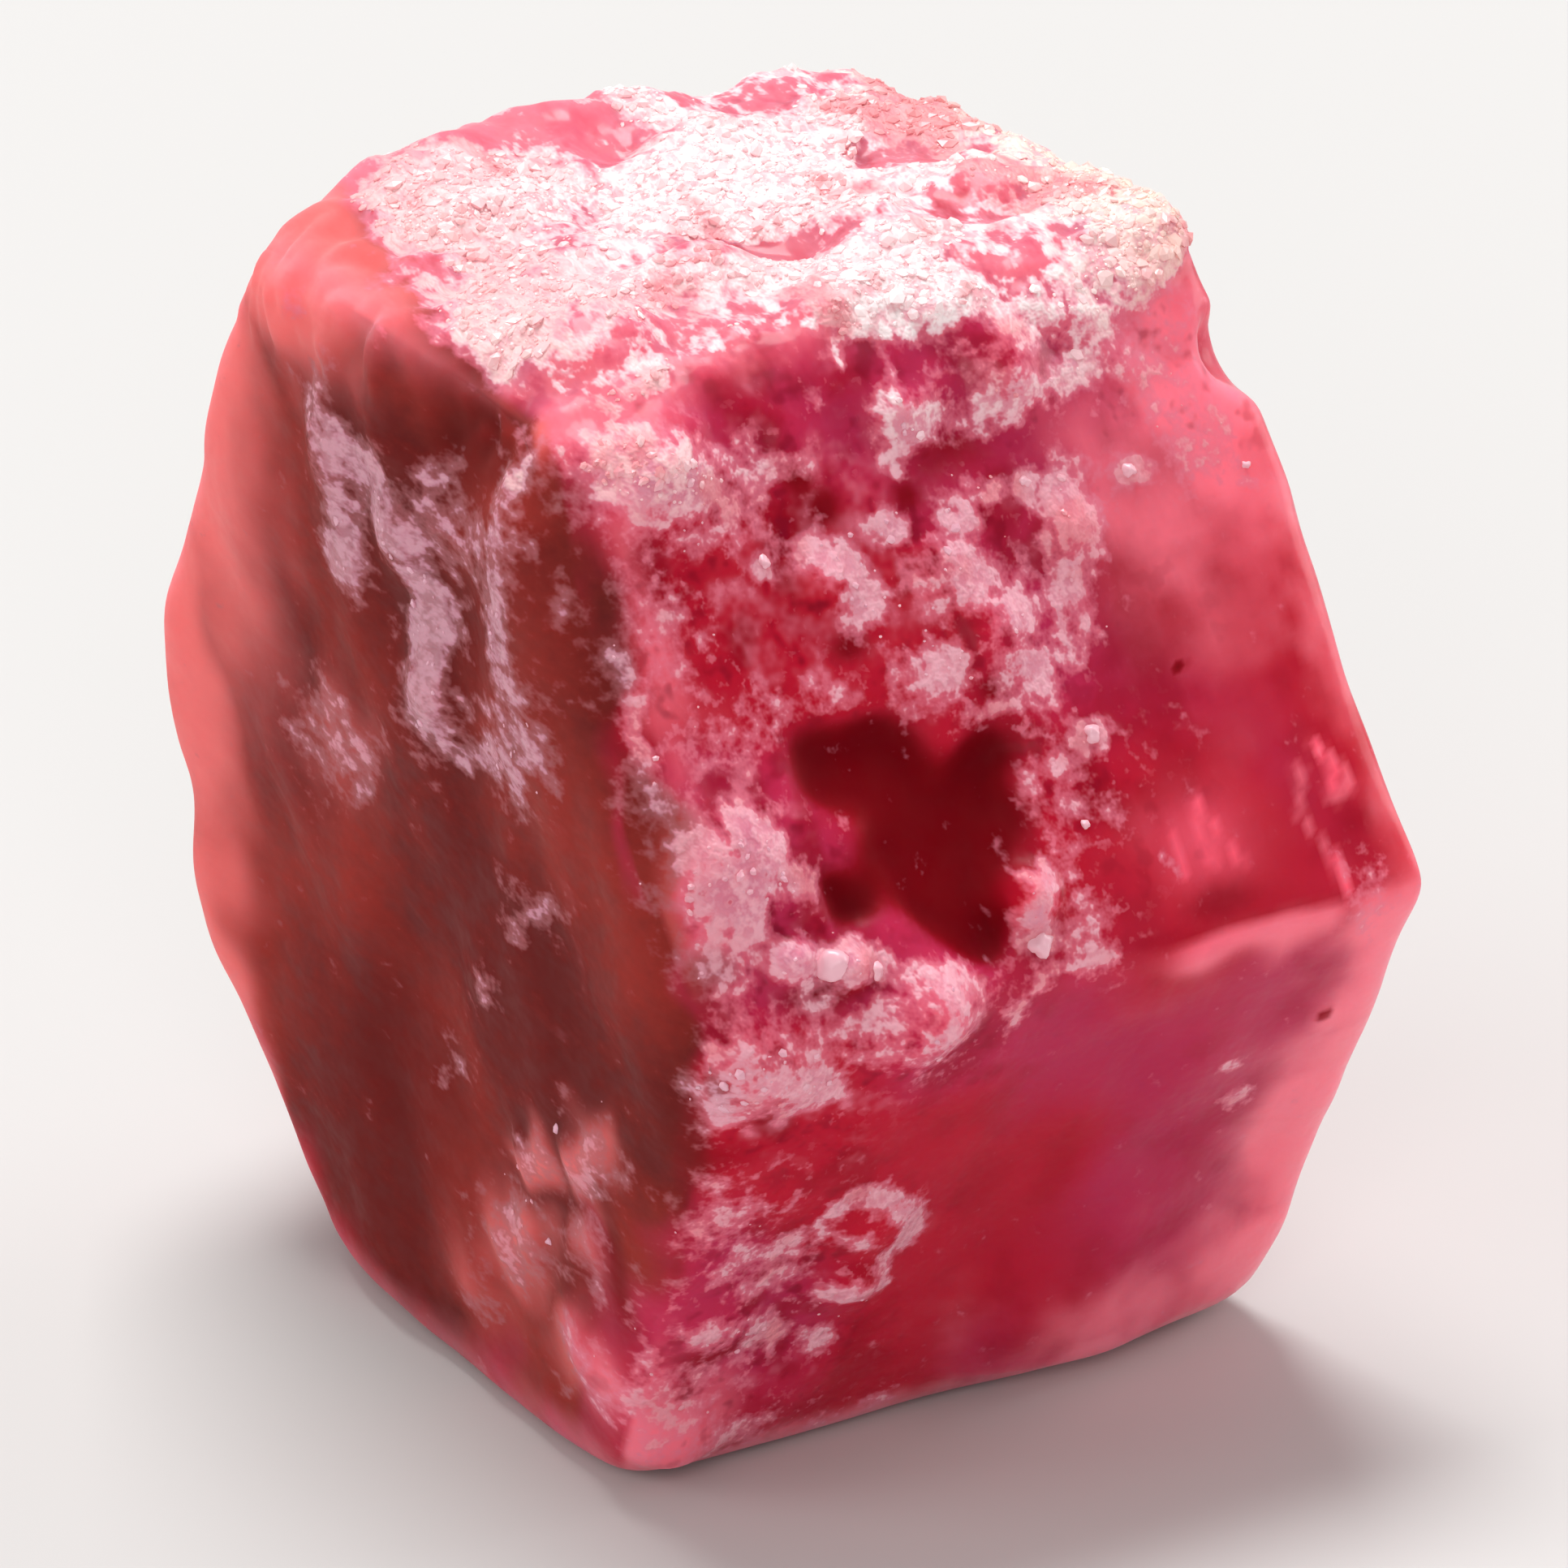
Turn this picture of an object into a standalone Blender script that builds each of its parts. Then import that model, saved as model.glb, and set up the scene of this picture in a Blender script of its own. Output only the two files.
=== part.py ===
"""A red beryl crystal: a short hexagonal prism lying on one of its six long faces.

X runs along the crystal's own long axis (the c-axis) and +Z is up. Blender's unit is the metre.
"""

import math

import bmesh
import bpy
from mathutils import Vector, noise

MM = 0.001

# The six prism faces: the angle of each outward normal, in degrees from +Y towards +Z, and the
# distance in millimetres from the axis. Faces of a beryl keep 60 degrees between them, whatever
# their widths.
PRISM_FACES = {
    "upper_back": (30, 4.55),
    "top": (90, 4.34),
    "upper_front": (150, 3.79),
    "lower_front": (210, 3.94),
    "base": (270, 4.36),
    "lower_back": (330, 5.12),
}
# The two end faces, across the axis. The far one is an uneven break that leans a little.
END_FACES = {
    "near_end": ((-1.0, 0.0, 0.0), 2.77),
    "far_end": ((1.0, 0.139, -0.046), 2.50),
}
EDGE_WEAR = 0.12  # mm, how far the worn edges are rounded
# The corners that are worn more: the three faces that meet, the added rounding and its reach, mm.
WORN_CORNERS = [
    (("top", "near_end", "upper_back"), 0.06, 2.2),
    (("top", "near_end", "upper_front"), 0.14, 2.6),
    (("base", "far_end", "lower_front"), 0.05, 1.6),
]
EDGE_CUTS = 17  # points added to each edge of the sharp prism
BASE_BAND = 0.4  # mm, the relief fades out over this height above the base face
FLAT_WITHIN = 0.02  # mm, the underside is flat where it comes this near to the base face
AXIS_MIDDLE = (-0.02, -0.48, 4.36)  # mm, the middle of the axis above the middle of the ground plan
CRYSTAL_COLOUR = (0.46, 0.020, 0.045, 1.0)

# Grown-on knobs (+) and etched hollows (-) of each face, in millimetres: the place along the axis
# (+Y on an end), the place up the face (+Y on the top), the radius and the height.
RELIEF = {
    "upper_front": [
        (-0.75, -0.45, 0.75, -0.42),  # the large hollow, in three overlapping pits
        (-0.35, -1.25, 0.62, -0.50),
        (0.05, -0.75, 0.45, -0.30),
        (-2.00, -0.85, 0.70, 0.20),  # the knobs around its rim
        (-1.45, -1.75, 0.34, 0.26),
        (-1.00, -1.85, 0.34, 0.26),
        (0.05, -1.75, 0.36, 0.28),
        (-0.10, -2.25, 0.40, 0.16),
        (-2.05, 1.75, 0.60, 0.20),  # the crust patches above it
        (0.25, 1.95, 0.45, 0.20),
        (0.10, 0.75, 0.50, 0.18),
        (0.35, 0.25, 0.45, 0.16),
        (-0.75, 0.85, 0.40, 0.14),
        (1.25, 1.00, 0.45, 0.16),
        (1.10, 2.05, 0.50, 0.16),
        (3.05, 1.80, 0.42, -0.34),  # the nick in the far edge
    ],
    "lower_front": [
        (-2.20, 1.85, 0.65, 0.20),
        (-1.05, 2.00, 0.55, 0.18),
        (-1.05, -0.15, 0.42, 0.20),
        (-1.15, -0.85, 0.42, 0.16),
        (-2.20, -0.95, 0.50, 0.14),
        (-2.35, -2.20, 0.50, 0.14),
        (0.90, -2.20, 1.80, 0.20),  # the face swells towards its lower edge
    ],
    "near_end": [
        (-1.15, 3.35, 0.80, -0.38),  # the hollow under the top edge
        (-1.10, 2.60, 0.55, -0.22),
        (1.10, 2.90, 0.60, 0.16),  # the two strands that run down beside it
        (0.45, 2.10, 0.60, 0.18),
        (-0.30, 1.30, 0.60, 0.18),
        (-1.65, 1.70, 0.50, 0.16),
        (-1.40, -1.65, 0.55, 0.24),  # the knobs along the lower edge
        (-2.10, -1.20, 0.50, 0.18),
        (-0.75, -2.60, 0.60, 0.24),
        (-1.60, -2.75, 0.45, 0.18),
        (0.30, -3.00, 0.55, 0.16),
        (0.60, -0.30, 1.30, -0.16),  # the shallow dish in the middle
    ],
    "top": [
        (-1.60, -1.10, 0.70, 0.16),  # the thick crust
        (-0.40, -0.60, 0.70, 0.18),
        (0.90, -0.90, 0.70, 0.18),
        (2.00, -0.40, 0.70, 0.20),
        (-1.20, 1.40, 0.70, 0.16),
        (0.60, 1.60, 0.80, 0.18),
        (-0.30, 0.50, 0.50, -0.14),
        (1.60, 2.40, 0.60, 0.16),
        (-1.10, 2.70, 1.80, 0.26),  # the face swells towards its back edge
    ],
}


def face_planes():
    """Each face's outward normal and its distance from the middle of the axis, in millimetres."""
    planes = {}
    for name, (angle, distance) in PRISM_FACES.items():
        turn = math.radians(angle)
        planes[name] = (Vector((0.0, math.cos(turn), math.sin(turn))), distance)
    for name, (direction, distance) in END_FACES.items():
        planes[name] = (Vector(direction).normalized(), distance)
    return planes


def sharp_prism(planes):
    """The unworn crystal, cut from a block by its faces and divided into small even facets."""
    bm = bmesh.new()
    bmesh.ops.create_cube(bm, size=20.0)
    for normal, distance in planes.values():
        geometry = bm.verts[:] + bm.edges[:] + bm.faces[:]
        bmesh.ops.bisect_plane(
            bm, geom=geometry, plane_co=normal * distance, plane_no=normal, clear_outer=True
        )
        bmesh.ops.holes_fill(bm, edges=bm.edges[:])
    ends = [face for face in bm.faces if abs(face.normal.x) > 0.9]
    bmesh.ops.poke(bm, faces=ends)
    bmesh.ops.subdivide_edges(bm, edges=bm.edges[:], cuts=EDGE_CUTS, use_grid_fill=True)
    return bm


def corner(planes, names):
    """The sharp corner where three faces meet."""
    (a, da), (b, db), (c, dc) = (planes[name] for name in names)
    return (da * b.cross(c) + db * c.cross(a) + dc * a.cross(b)) / a.dot(b.cross(c))


def falloff(distance, reach):
    """1 at the middle, easing to 0 at reach."""
    share = min(distance / reach, 1.0)
    return (1.0 - share * share) ** 2


def hollow(distance, reach):
    """As falloff, with a flatter floor and steeper sides."""
    share = min(distance / reach, 1.0)
    return (1.0 - share**4) ** 2


def worn(point, planes, softness):
    """The point moved in to the worn surface, and the direction out of it there."""
    for _ in range(3):
        pulls = {
            name: math.exp((normal.dot(point) - distance) / softness)
            for name, (normal, distance) in planes.items()
        }
        total = sum(pulls.values())
        outward = sum((planes[name][0] * pull for name, pull in pulls.items()), Vector()) / total
        point = point - outward * (softness * math.log(total) / outward.length_squared)
    return point, outward.normalized()


def face_point(planes, name, along, up):
    """A point of a face, from its middle: along the axis (or +Y on an end), and up the face."""
    normal, distance = planes[name]
    sideways = Vector((0.0, 1.0, 0.0)) if name in END_FACES else Vector((1.0, 0.0, 0.0))
    if name == "top":
        return normal * distance + sideways * along + Vector((0.0, up, 0.0))
    upward = Vector((0.0, 0.0, 1.0))
    upward = (upward - normal * normal.dot(upward)).normalized()
    return normal * distance + sideways * along + upward * up


def crust_share(point):
    """How thickly the surface is crusted: all over the top, and towards the near end in front."""
    top = min(max((point.z - 3.1) / 0.7, 0.0), 1.0)
    front = min(max((0.9 - point.x) / 1.4, 0.0), 1.0) * min(max(-point.y / 1.5, 0.0), 1.0)
    return max(top, 0.7 * front)


def relief_height(point, spots):
    """Knobs, hollows and the general unevenness of the surface, in millimetres."""
    coarse = noise.noise(point * 0.7) * 0.10 + noise.noise(point * 1.6) * 0.05
    grain = noise.noise(point * 2.2 + Vector((9.0, 4.0, 2.0))) * 0.16 * crust_share(point)
    knobs = sum(
        height * falloff((point - centre).length, radius)
        for centre, radius, height in spots
        if height > 0
    )
    hollows = min(
        height * hollow((point - centre).length, radius)
        for centre, radius, height in spots
        if height < 0
    )
    return coarse + grain + knobs + hollows


def crystal_mesh():
    planes = face_planes()
    bm = sharp_prism(planes)
    spots = [
        (face_point(planes, name, along, up), radius, height)
        for name, marks in RELIEF.items()
        for along, up, radius, height in marks
    ]
    worn_corners = [(corner(planes, names), wear, reach) for names, wear, reach in WORN_CORNERS]
    base_level = -PRISM_FACES["base"][1]
    for vert in bm.verts:
        wear = EDGE_WEAR + sum(
            added * falloff((vert.co - place).length, reach) for place, added, reach in worn_corners
        )
        point, outward = worn(vert.co.copy(), planes, wear)
        height = relief_height(point, spots)
        keep = min(max((point.z - base_level) / BASE_BAND, 0.0), 1.0)
        vert.co = point + outward * height * keep
        if vert.co.z < base_level + FLAT_WITHIN:
            vert.co.z = base_level
    resting = [f for f in bm.faces if all(v.co.z == base_level for v in f.verts)]
    bmesh.ops.dissolve_faces(bm, faces=resting)
    bmesh.ops.triangulate(bm, faces=bm.faces[:])
    bmesh.ops.recalc_face_normals(bm, faces=bm.faces[:])
    bmesh.ops.scale(bm, vec=(MM, MM, MM), verts=bm.verts[:])
    mesh = bpy.data.meshes.new("red_beryl_crystal")
    bm.to_mesh(mesh)
    bm.free()
    return mesh


def crystal_material():
    material = bpy.data.materials.new("red_beryl")
    material.use_nodes = True
    shader = material.node_tree.nodes["Principled BSDF"]
    shader.inputs["Base Color"].default_value = CRYSTAL_COLOUR
    shader.inputs["Roughness"].default_value = 0.3
    shader.inputs["Metallic"].default_value = 0.0
    material.diffuse_color = CRYSTAL_COLOUR
    return material


def main():
    for old in list(bpy.data.objects):
        bpy.data.objects.remove(old, do_unlink=True)
    mesh = crystal_mesh()
    mesh.materials.append(crystal_material())
    crystal = bpy.data.objects.new("red_beryl_crystal", mesh)
    crystal.location = Vector(AXIS_MIDDLE) * MM
    bpy.context.scene.collection.objects.link(crystal)


main()
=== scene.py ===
import math

import bmesh
import bpy
import numpy as np
from mathutils import Matrix, Vector, noise


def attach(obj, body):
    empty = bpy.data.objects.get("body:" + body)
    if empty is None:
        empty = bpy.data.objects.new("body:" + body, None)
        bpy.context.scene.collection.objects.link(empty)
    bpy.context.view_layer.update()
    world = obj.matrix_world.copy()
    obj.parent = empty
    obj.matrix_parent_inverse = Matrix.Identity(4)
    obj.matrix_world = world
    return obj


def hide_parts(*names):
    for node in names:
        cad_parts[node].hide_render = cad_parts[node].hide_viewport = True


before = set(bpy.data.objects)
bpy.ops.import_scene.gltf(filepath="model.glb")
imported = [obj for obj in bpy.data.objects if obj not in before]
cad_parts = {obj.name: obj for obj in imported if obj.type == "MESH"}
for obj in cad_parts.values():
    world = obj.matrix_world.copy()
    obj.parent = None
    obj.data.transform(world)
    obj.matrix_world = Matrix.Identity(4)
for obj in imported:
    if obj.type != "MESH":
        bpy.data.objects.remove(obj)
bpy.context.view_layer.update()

mm = 0.001

# The crystal's form, in millimetres from the middle of its axis, which runs along X.
crystal = {
    "axisMiddle": Vector((-0.02, -0.48, 4.36)),
    "prismFaces": {  # the angle of the outward normal from +Y, and the distance from the axis
        "upperBack": (30, 4.55),
        "top": (90, 4.34),
        "upperFront": (150, 3.79),
        "lowerFront": (210, 3.94),
        "base": (270, 4.36),
        "lowerBack": (330, 5.12),
    },
    "endFaces": {
        "nearEnd": ((-1.0, 0.0, 0.0), 2.77),
        "farEnd": ((1.0, 0.139, -0.046), 2.50),
    },
    "edgeWear": 0.12,  # the rounding of every edge
    "leanWidth": 0.30,  # at an edge, relief turns to the next face's way within about this
    "wornCorners": [  # three faces, the added rounding, its reach
        (("top", "nearEnd", "upperBack"), 0.06, 2.2),
        (("top", "nearEnd", "upperFront"), 0.14, 2.6),
        (("base", "farEnd", "lowerFront"), 0.05, 1.6),
    ],
    "wornEdges": [  # two faces, the added rounding, its reach
        (("nearEnd", "upperFront"), 0.16, 2.2),
        (("nearEnd", "upperBack"), 0.10, 2.0),
        (("nearEnd", "lowerBack"), 0.10, 2.0),
        (("nearEnd", "lowerFront"), 0.05, 1.5),
        (("upperFront", "lowerFront"), -0.06, 1.0),
    ],
    "dullEdges": [  # no light shines through these
        ("upperFront", "lowerFront"),
        ("upperFront", "nearEnd"),
        ("lowerFront", "nearEnd"),
        ("top", "upperFront"),
    ],
    "edgeGlow": 0.9,  # how far in from the other edges the light shows
    "block": 20.0,  # the cube that the prism is cut out of
    "edgeCuts": 84,
    "baseBand": 0.4,  # the relief fades out over this height above the floor
    "flatWithin": 0.02,
}

# The general unevenness. Its waves are a noise scale, the noise's shift and a height.
unevenness = {
    "everywhere": [(0.7, 0.0, 0.10), (1.6, 0.0, 0.04)],
    "onTop": [(2.2, 9.0, 0.08), (4.5, 21.0, 0.05)],
    "topFrom": (3.1, 3.8),
    "foot": 1.15,  # a knob fades out at its radius times this
}

# Knobs (+) and dips (-) of each face: along, up, radius, height.
relief = {
    "upperFront": [
        (-2.05, -0.85, 0.70, 0.16),  # the knobs around the deep hollow
        (-1.82, -1.63, 0.26, 0.20),
        (-1.45, -1.79, 0.26, 0.22),
        (0.02, -1.65, 0.32, 0.22),
        (-0.85, -2.20, 0.45, 0.16),
        (-1.75, 1.95, 0.60, 0.18),  # the crust patches above it
        (0.25, 1.89, 0.34, 0.12),
        (0.10, 0.75, 0.50, 0.12),
        (0.35, 0.25, 0.45, 0.10),
        (-0.75, 0.95, 0.40, 0.10),
        (1.20, 0.80, 0.40, 0.12),
        (1.10, 2.05, 0.50, 0.14),
        (3.05, 1.80, 0.50, -0.32),  # the nick in the far edge
    ],
    "lowerFront": [
        (-2.30, 1.95, 0.65, 0.20),
        (-1.05, 2.00, 0.50, 0.14),
        (-1.05, -0.15, 0.50, 0.12),
        (-1.15, -0.75, 0.40, 0.12),
        (-2.20, -0.95, 0.50, 0.14),
        (-2.35, -2.20, 0.50, 0.14),
        (0.90, -2.20, 1.80, 0.20),  # the face swells towards its lower edge
    ],
    "nearEnd": [
        (-0.85, 3.70, 1.05, -0.26),  # the hollow under the top edge
        (-0.70, 2.50, 0.65, -0.08),
        (1.14, 3.00, 0.60, 0.12),  # the strands that run down beside it
        (0.10, 2.60, 0.55, 0.12),
        (-0.25, 1.50, 0.50, 0.12),
        (1.54, 0.68, 0.80, 0.12),
        (-1.04, -1.94, 0.34, 0.07),  # the knobs along the lower edge
        (-1.42, -1.80, 0.34, 0.07),
        (-1.99, -1.59, 0.34, 0.07),
        (-2.37, -1.45, 0.34, 0.06),
        (-0.48, -2.84, 0.40, 0.08),
        (-0.98, -2.64, 0.42, 0.08),
        (-1.82, -2.33, 0.30, 0.05),
        (-2.15, -2.20, 0.30, 0.05),
        (0.37, -3.42, 0.36, 0.05),
        (0.05, -3.30, 0.40, 0.06),
        (-1.84, -3.19, 0.45, 0.06),
        (4.20, -1.90, 1.10, 0.22),  # the swelling along the back edge
        (4.80, 0.30, 1.20, 0.10),
        (0.60, -0.80, 1.30, -0.14),  # the shallow dish in the middle
    ],
    "top": [
        (-1.60, -1.10, 0.70, 0.16),  # the thick crust
        (-0.40, -0.60, 0.70, 0.18),
        (0.90, -0.90, 0.70, 0.16),
        (2.00, -0.40, 0.70, 0.18),
        (-1.20, 1.40, 0.70, 0.16),
        (0.60, 1.60, 0.80, 0.16),
        (0.25, -0.60, 0.50, -0.14),
        (0.10, 1.90, 0.45, -0.12),
        (1.60, 2.40, 0.60, 0.14),
        (-1.10, 2.70, 1.80, 0.24),  # the face swells towards its back edge
        (0.20, 3.10, 1.10, 0.22),
    ],
    "upperBack": [
        (-1.20, 0.90, 0.90, 0.14),
        (1.10, -0.60, 1.10, 0.16),
        (-0.60, -1.20, 0.60, -0.14),
        (1.40, 1.50, 0.60, 0.14),
    ],
    "lowerBack": [
        (0.60, 0.80, 0.90, 0.14),
        (-1.50, -0.40, 0.80, -0.14),
        (1.60, -1.30, 0.60, 0.14),
    ],
    "farEnd": [
        (1.20, 1.30, 1.00, 0.14),
        (-1.40, -0.80, 0.90, 0.12),
        (-0.20, 0.90, 0.60, -0.14),
        (1.80, -1.60, 0.70, 0.12),
    ],
}

# The deep hollow of the upper front face, in overlapping pits: along, up, radius.
deepHollow = {
    "pits": [
        (-1.12, -0.28, 0.38),
        (-0.68, -0.42, 0.38),
        (0.10, -0.68, 0.30),
        (-0.24, -1.05, 0.46),
        (-0.68, -1.12, 0.44),
        (-1.32, -1.25, 0.24),
        (-0.45, -1.55, 0.34),
        (-0.32, -1.92, 0.20),
    ],
    "depth": 0.19,
    "wander": 0.15,
    "wanderNoise": (2.2, (31.0, 37.0)),  # its scale, and a shift for each direction
    "walls": (0.10, 1.35),
    "frontFrom": (3.2, 3.5),
}

# What lies on each face. Spots: along, up, half-width, half-height, turn in degrees, amount.
spots = {
    ("crust", "upperFront"): [
        (0.26, 1.89, 0.25, 0.22, 0, 1.1),  # flecks in the middle
        (0.05, 1.60, 0.11, 0.10, 0, 0.8),
        (-0.11, 1.13, 0.20, 0.14, 20, 1.0),
        (0.29, 0.69, 0.32, 0.26, -20, 1.1),
        (1.27, 0.98, 0.20, 0.30, 10, 1.1),
        (1.15, 0.46, 0.12, 0.30, 0, 1.1),
        (-0.14, 0.15, 0.28, 0.20, 0, 1.0),
        (0.57, 0.31, 0.18, 0.30, 20, 0.95),
        (0.57, -0.03, 0.34, 0.18, 0, 0.95),
        (-0.70, 1.10, 0.34, 0.13, -38, 0.95),
        (-0.55, 0.73, 0.18, 0.22, 0, 0.95),
        (-1.16, 1.14, 0.11, 0.11, 0, 1.0),
        (-1.03, 1.93, 0.34, 0.18, -20, 0.8),
        (-1.80, 1.98, 0.50, 0.31, -30, 1.6),
        (-1.60, 1.74, 0.34, 0.19, 0, 1.3),
        (-2.00, 2.60, 0.50, 0.36, 0, 0.52),
        (-1.45, 2.75, 0.40, 0.22, 0, 0.42),
        (0.64, 1.32, 0.10, 0.10, 0, 0.9),
        (0.96, 1.21, 0.09, 0.09, 0, 0.9),
        (1.82, 1.14, 0.09, 0.09, 0, 0.9),
        (0.42, 1.14, 0.18, 0.16, 0, 0.8),
        (-0.42, -0.11, 0.09, 0.09, 0, 0.9),
        (0.20, -0.30, 0.22, 0.10, 0, 0.8),
        (0.89, -0.63, 0.11, 0.14, 0, 1.1),
        (1.05, 1.88, 0.40, 0.14, 15, 0.95),
        (1.55, 1.98, 0.34, 0.20, 20, 0.85),
        (-0.20, 2.76, 0.60, 0.22, 0, 0.75),  # the apron under the top edge
        (1.80, 2.50, 0.90, 0.42, 10, 0.95),
        (0.80, 2.66, 0.60, 0.30, 0, 0.85),
        (-1.88, -0.72, 0.20, 0.28, 25, 1.5),  # the heart beside the hollow
        (-2.30, -0.64, 0.18, 0.22, -15, 1.2),
        (-2.08, -1.02, 0.28, 0.30, 0, 1.4),
        (-2.20, -1.00, 0.50, 0.60, 0, 0.42),
        (-2.28, -1.50, 0.20, 0.34, 0, 0.70),
        (-1.60, -1.06, 0.22, 0.14, 0, 0.8),
        (-1.82, -1.63, 0.20, 0.19, 20, 1.4),  # the pearls under it
        (-1.46, -1.79, 0.17, 0.18, 0, 1.4),
        (-1.20, -1.88, 0.16, 0.16, 0, 0.8),
        (0.08, -1.55, 0.26, 0.16, -10, 1.2),  # the wedge to its right
        (0.02, -1.85, 0.15, 0.26, 0, 1.3),
        (0.34, -1.95, 0.20, 0.22, 0, 0.75),
        (-1.02, -0.73, 0.11, 0.10, 0, 1.0),
        (-0.78, -2.10, 0.28, 0.20, 0, 0.85),
        (-0.93, -2.46, 0.26, 0.20, 0, 1.0),
        (-1.30, -2.20, 0.30, 0.24, 0, 0.6),
        (2.45, 1.35, 0.28, 0.40, 0, 0.45),  # thin haze at the far edge
        (2.20, 1.90, 0.40, 0.30, 0, 0.50),
        (0.50, -0.90, 0.40, 0.50, 0, 0.40),
        (-2.10, 0.90, 0.40, 0.50, 0, 0.45),
        (-1.40, 0.00, 0.50, 0.30, 0, 0.40),
    ],
    ("crust", "lowerFront"): [
        (-2.35, 2.05, 0.36, 0.34, 0, 1.05),
        (-1.92, 1.80, 0.26, 0.26, 0, 1.1),
        (-2.60, 1.60, 0.40, 0.24, 20, 0.85),
        (-2.90, 2.10, 0.20, 0.30, 0, 0.7),
        (-1.20, 2.10, 0.50, 0.30, 0, 0.55),
        (-0.80, 2.10, 0.24, 0.24, 0, 0.9),
        (-1.22, -0.20, 0.16, 0.12, 0, 0.7),
        (-1.20, -0.80, 0.20, 0.12, 0, 1.1),
        (-2.33, 0.28, 0.40, 0.50, 0, 0.40),
        (-1.85, -0.30, 0.50, 0.40, 0, 0.50),
        (-2.20, -0.95, 0.34, 0.18, 15, 0.68),
        (-1.78, -1.20, 0.22, 0.18, 0, 0.90),
        (-1.30, -1.40, 0.16, 0.14, 0, 0.75),
        (-2.45, -1.75, 0.40, 0.40, 0, 0.60),
        (-2.00, -2.30, 0.50, 0.30, 0, 0.55),
        (-1.10, -2.50, 0.16, 0.16, 0, 0.6),
        (-0.70, -2.40, 0.13, 0.13, 0, 0.55),
        (1.74, 0.62, 0.09, 0.08, 0, 0.9),
        (1.83, 0.10, 0.11, 0.09, 0, 0.95),
        (2.70, 2.05, 0.16, 0.24, 0, 0.55),
    ],
    ("crust", "nearEnd"): [
        (1.60, 0.52, 0.70, 0.36, -21, 0.52),  # the faint lump below the strands
        (1.31, 0.16, 0.30, 0.14, -21, 0.50),
        (-1.64, 0.20, 0.40, 0.16, -21, 0.46),
        (-0.64, -0.81, 0.30, 0.12, -21, 0.42),
        (0.13, -1.66, 0.30, 0.14, -21, 0.40),
        (-1.23, -1.87, 0.42, 0.20, -21, 0.52),  # the knobs along the lower edge
        (-2.18, -1.52, 0.44, 0.24, -21, 0.54),
        (-0.73, -2.74, 0.60, 0.32, -21, 0.50),
        (-1.98, -2.27, 0.38, 0.26, -21, 0.44),
        (0.21, -3.39, 0.32, 0.28, -21, 0.34),
        (-1.47, -3.22, 0.40, 0.22, -25, 0.30),
        (-2.05, -3.35, 0.40, 0.30, 0, 0.34),
        (-1.70, 4.60, 0.60, 0.20, 0, 0.8),  # the top crust that hangs over
        (-2.10, 4.30, 0.30, 0.50, 0, 0.6),
        (-0.60, 3.05, 0.30, 0.20, 0, 0.6),
        (-1.20, 2.90, 0.30, 0.30, 0, 0.5),
    ],
    ("bare", "top"): [
        (0.10, -0.38, 0.48, 0.14, -14, 1.0),  # the crack in the middle
        (-0.10, -0.60, 0.50, 0.24, 0, 0.55),
        (0.75, -0.75, 0.45, 0.28, 0, 0.50),
        (1.27, -1.70, 0.35, 0.26, 0, 0.65),
        (2.00, -1.60, 0.40, 0.20, 0, 0.45),
        (-1.85, -1.55, 1.00, 0.56, 10, 0.62),  # set back from the front edge on the left
        (-1.00, 2.60, 0.85, 0.48, 0, 0.60),
        (0.10, 2.10, 0.42, 0.34, 0, 0.52),
        (1.33, 2.10, 0.36, 0.30, 0, 0.50),
        (1.75, 0.60, 0.34, 0.22, 0, 0.45),
        (-1.30, 0.00, 0.30, 0.24, 0, 0.35),
        (-0.60, 3.10, 1.20, 0.40, 0, 0.45),
    ],
    ("bare", "upperFront"): [
        (-0.90, 2.50, 0.52, 0.40, 0, 1.1),
        (0.10, 2.55, 0.50, 0.16, 0, 0.40),
    ],
    ("bare", "nearEnd"): [
        (1.30, 4.30, 1.90, 0.60, 0, 1.2),
        (2.50, 3.60, 0.80, 0.80, 0, 1.2),
        (-1.05, 4.20, 0.60, 0.36, 0, 1.0),
    ],
    ("haze", "upperFront"): [
        (-0.60, 1.10, 1.90, 1.70, 0, 1.0),
        (-1.90, -1.20, 1.00, 1.40, 0, 1.0),
        (0.50, -0.80, 0.80, 0.90, 0, 0.8),
        (2.30, 1.60, 0.80, 0.70, 0, 0.7),
    ],
    ("haze", "lowerFront"): [
        (-2.00, 1.70, 1.30, 0.80, 0, 1.0),
        (-1.80, -0.90, 0.90, 1.60, 0, 0.9),
    ],
    ("haze", "nearEnd"): [
        (-2.10, 0.80, 0.70, 3.20, 0, 0.6),
        (-1.20, -2.60, 1.20, 1.10, 0, 0.6),
    ],
    ("haze", "farEnd"): [(0.00, 0.50, 2.60, 2.60, 0, 0.8)],
    ("haze", "upperBack"): [(0.00, 0.60, 2.40, 2.00, 0, 0.9)],
    ("haze", "lowerBack"): [(0.00, 0.40, 2.20, 1.80, 0, 0.7)],
    # Brown-red of the near end: partly its own colour, partly painted shade of the face that is
    # turned from the light.
    ("brown", "nearEnd"): [
        (1.30, 0.80, 3.60, 4.60, 0, 1.5),
        (-1.50, 2.40, 1.30, 2.00, 0, 1.4),
        (-0.60, -1.60, 1.20, 2.60, 0, 1.2),
        (-2.70, 0.00, 0.80, 2.40, 0, 1.2),
        (-3.35, -0.10, 0.60, 1.50, 0, 1.1),
    ],
    ("brown", "upperFront"): [
        (-2.80, 1.10, 0.44, 1.30, 0, 1.0),
        (-2.85, -0.80, 0.42, 1.40, 0, 1.1),
    ],
    ("brown", "lowerFront"): [(-2.95, 1.20, 0.40, 1.80, 0, 1.0)],
    # Warm coral: painted rim light along the outline where the crystal turns away, painted floor
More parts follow.
